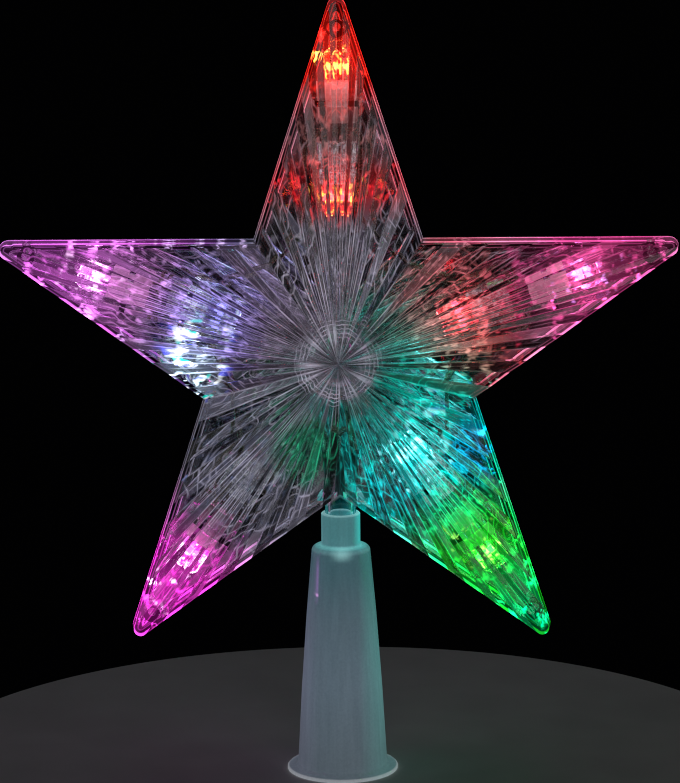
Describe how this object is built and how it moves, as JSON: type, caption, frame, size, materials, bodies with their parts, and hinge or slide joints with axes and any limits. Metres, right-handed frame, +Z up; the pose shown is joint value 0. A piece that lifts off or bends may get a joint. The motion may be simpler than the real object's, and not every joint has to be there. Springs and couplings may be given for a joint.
{
  "type": "christmas tree topper star",
  "caption": "Lighted tree-top star: two clear reeded half shells with coloured bulbs inside, on a split neck that turns in a frosted cone with a flange.",
  "frame": {"origin": "middle of the cone's foot, on the surface that the flange stands on", "axes": "+Z up along the swivel axis, -Y towards the front half of the star, +X to the right seen from the front"},
  "size_m": [0.1848, 0.0344, 0.2148],
  "materials": {
    "clear_shell": "clear, polished",
    "frosted_cone": "frosted",
    "bulb_red": "lit lens",
    "bulb_violet": "lit lens",
    "bulb_white": "lit lens",
    "bulb_pink": "lit lens",
    "bulb_unlit": "clear lens",
    "bulb_green": "lit lens",
    "bulb_cyan": "lit lens",
    "clear_husk": "clear",
    "wire": "clear over copper",
    "splice_sleeve": "heat-shrunk"
  },
  "bodies": {
    "base": {"tree_cone": "frosted_cone"},
    "star": {"front_shell": "clear_shell", "rear_shell": "clear_shell", "tip_bulb_top": "bulb_red", "inner_bulb_top": "bulb_red", "tip_bulb_upper_left": "bulb_violet", "inner_bulb_upper_left": "bulb_white", "tip_bulb_lower_left": "bulb_pink", "inner_bulb_lower_left": "bulb_unlit", "tip_bulb_lower_right": "bulb_green", "inner_bulb_lower_right": "bulb_cyan", "tip_bulb_upper_right": "bulb_pink", "inner_bulb_upper_right": "bulb_red", "inner_husk_top": "clear_husk", "tip_husk_top": "clear_husk", "inner_husk_upper_left": "clear_husk", "tip_husk_upper_left": "clear_husk", "inner_husk_lower_left": "clear_husk", "tip_husk_lower_left": "clear_husk", "inner_husk_lower_right": "clear_husk", "tip_husk_lower_right": "clear_husk", "inner_husk_upper_right": "clear_husk", "tip_husk_upper_right": "clear_husk", "wires_top_to_upper_left": "wire", "wires_upper_left_to_lower_left": "wire", "wires_lower_right_to_upper_right": "wire", "wires_upper_right_to_top": "wire", "feed_wires_lower_left": "wire", "feed_wires_lower_right": "wire", "splice_left": "splice_sleeve", "splice_right": "splice_sleeve"}
  },
  "joints": [
    {"name": "star_swivel", "type": "hinge", "parent": "base", "child": "star", "pos_m": [0, 0, 0.0686], "axis": [0, 0, 1], "continuous": true}
  ]
}
